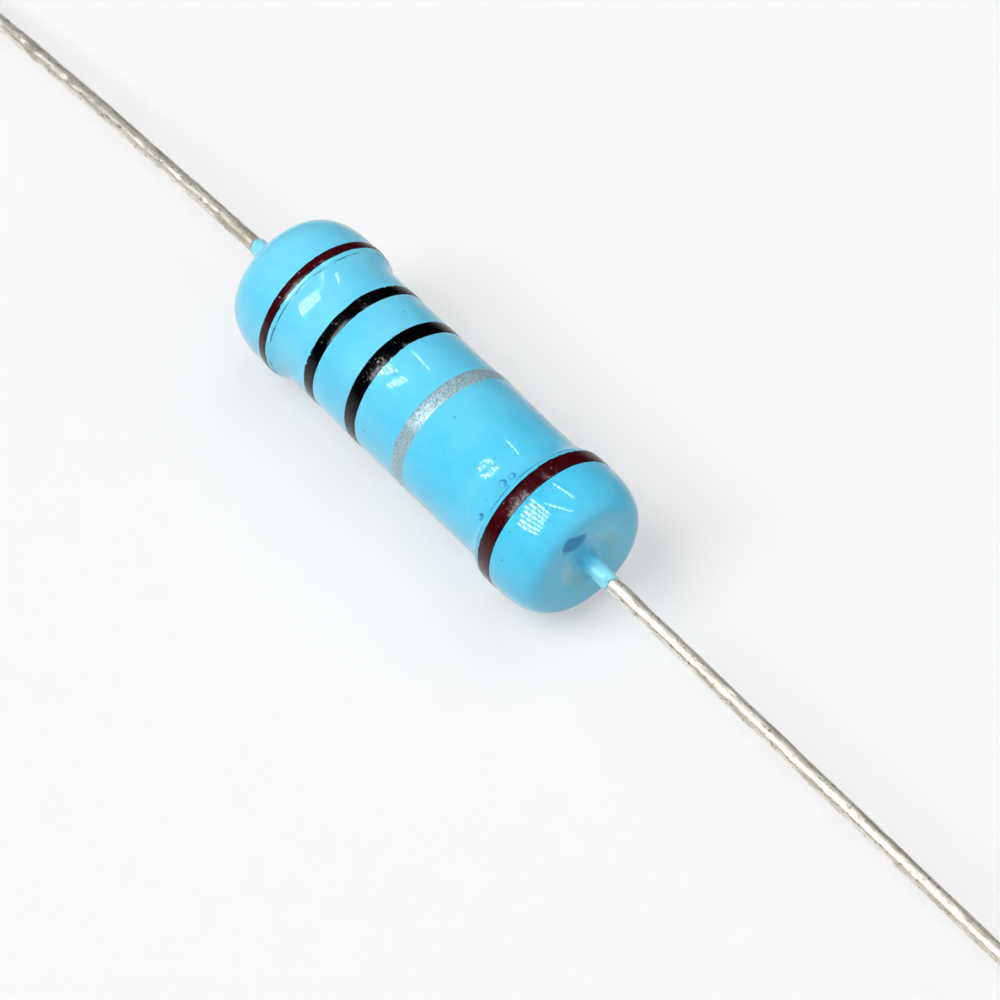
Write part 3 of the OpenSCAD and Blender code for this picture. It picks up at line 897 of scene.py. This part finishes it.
def makeWorld():
    # a dim pale sky, dark on the side beyond the left lead and brighter beyond the right one
    world = bpy.data.worlds.new("tent")
    world.use_nodes = True
    tree = world.node_tree
    coords = tree.nodes.new("ShaderNodeTexCoord")
    x = alongX(tree, coords.outputs["Generated"])
    sides = []
    for start, end, level in sky:
        side = tree.nodes.new("ShaderNodeMapRange")
        side.interpolation_type = "SMOOTHSTEP"
        feedAll(tree, side, {"Value": x, "From Min": start, "From Max": end, "To Max": level})
        sides.append(side.outputs["Result"])
    feedAll(tree, tree.nodes["Background"], {"Color": (1, 1, 1), "Strength": maths(tree, "ADD", *sides)})
    bpy.context.scene.world = world


def makePanel(name):
    # a lamp of lit bricks at one distance between its top left, top right, low right and low left corners
    look = lamps[name]
    corners = [tuple(Vector(c).normalized() * lamps["away"]) for c in look["corners"]]
    mesh = bpy.data.meshes.new(name)
    mesh.from_pydata(corners, [], [(0, 1, 2, 3)])
    across, up = look["cells"]
    uv = mesh.uv_layers.new(name="cells")
    uv.data.foreach_set("uv", [0, up, across, up, across, 0, 0, 0])
    panel = placed(name, mesh)
    material = bpy.data.materials.new(name)
    material.use_nodes = True
    tree = material.node_tree
    tree.nodes.clear()
    output = tree.nodes.new("ShaderNodeOutputMaterial")
    emission = tree.nodes.new("ShaderNodeEmission")
    tree.links.new(emission.outputs["Emission"], output.inputs["Surface"])
    coords = tree.nodes.new("ShaderNodeTexCoord")
    bricks = tree.nodes.new("ShaderNodeTexBrick")
    bricks.offset = lamps["stagger"]
    feedAll(tree, bricks, {
        "Vector": coords.outputs["UV"], "Color1": lamps["bright"], "Color2": lamps["dim"],
        "Mortar": lamps["between"], "Mortar Size": lamps["gap"], "Mortar Smooth": lamps["soft"],
        "Scale": 1, "Brick Width": look["brick"], "Row Height": 1,
    })
    lit = maths(tree, "MULTIPLY", bricks.outputs["Color"], look["strength"])
    feed(tree, emission.inputs["Strength"], lit)
    mesh.materials.append(material)


def makeFill(name):
    # a broad dim lamp that the lacquer doesn't mirror
    look = lamps[name]
    toward = Vector(look["toward"]).normalized()
    lamp = bpy.data.lights.new(name, "AREA")
    lamp.size, lamp.energy = look["size"], look["power"]
    lampObject = placed(name, lamp)
    lampObject.location = toward * lamps["away"]
    lampObject.rotation_euler = toward.to_track_quat("Z", "Y").to_euler()
    lampObject.visible_glossy = False


def makeCamera():
    az, el = math.radians(view["azimuth"]), math.radians(view["elevation"])
    back = Vector((math.sin(az) * math.cos(el), -math.cos(az) * math.cos(el), math.sin(el)))
    right = Vector((math.cos(az), math.sin(az), 0))
    up = back.cross(right)
    target = Vector((*view["target"], axisZ))
    camera = bpy.data.cameras.new("camera")
    camera.sensor_width = view["sensor"]
    camera.lens = view["sensor"] * view["focal"]
    camera.clip_start, camera.clip_end = view["clip"]
    cameraObject = placed("camera", camera)
    turn = Matrix((right, up, back)).transposed().to_4x4()
    cameraObject.matrix_world = Matrix.Translation((target + back * view["away"]) * mm) @ turn
    bpy.context.scene.camera = cameraObject


bpy.context.scene.view_settings.view_transform = "Standard"
makeCamera()
makeFloor()
makeWorld()
for name in ("fill", "front"):
    makeFill(name)
for name in ("panel", "rowOne", "rowTwo"):
    makePanel(name)
print("stage and camera are set")

lacquer = lacquerMaterial()
makeCoat(lacquer)
makeDots("lacquerBubbles", bubbles, lacquer)
makeDots("lacquerSpecks", specks, speckMaterial())
inks = {"brown": inkMaterial("brown"), "black": inkMaterial("black"), "silver": silverMaterial()}
for node in bandEdges:
    makeBand(node, inks)
tin = tinMaterial()
for node in ("right_lead", "left_lead"):
    makeLead(node, tin)

for node, look in (("ceramic_core", "ceramic"), ("resistive_film", "oxideFilm"),
                   ("left_cap", "drawnSteel"), ("right_cap", "drawnSteel")):
    part = frame["nodes"][node]
    part.data.materials.clear()
    part.data.materials.append(innerMaterial(look))
print("inner parts have their finishes")
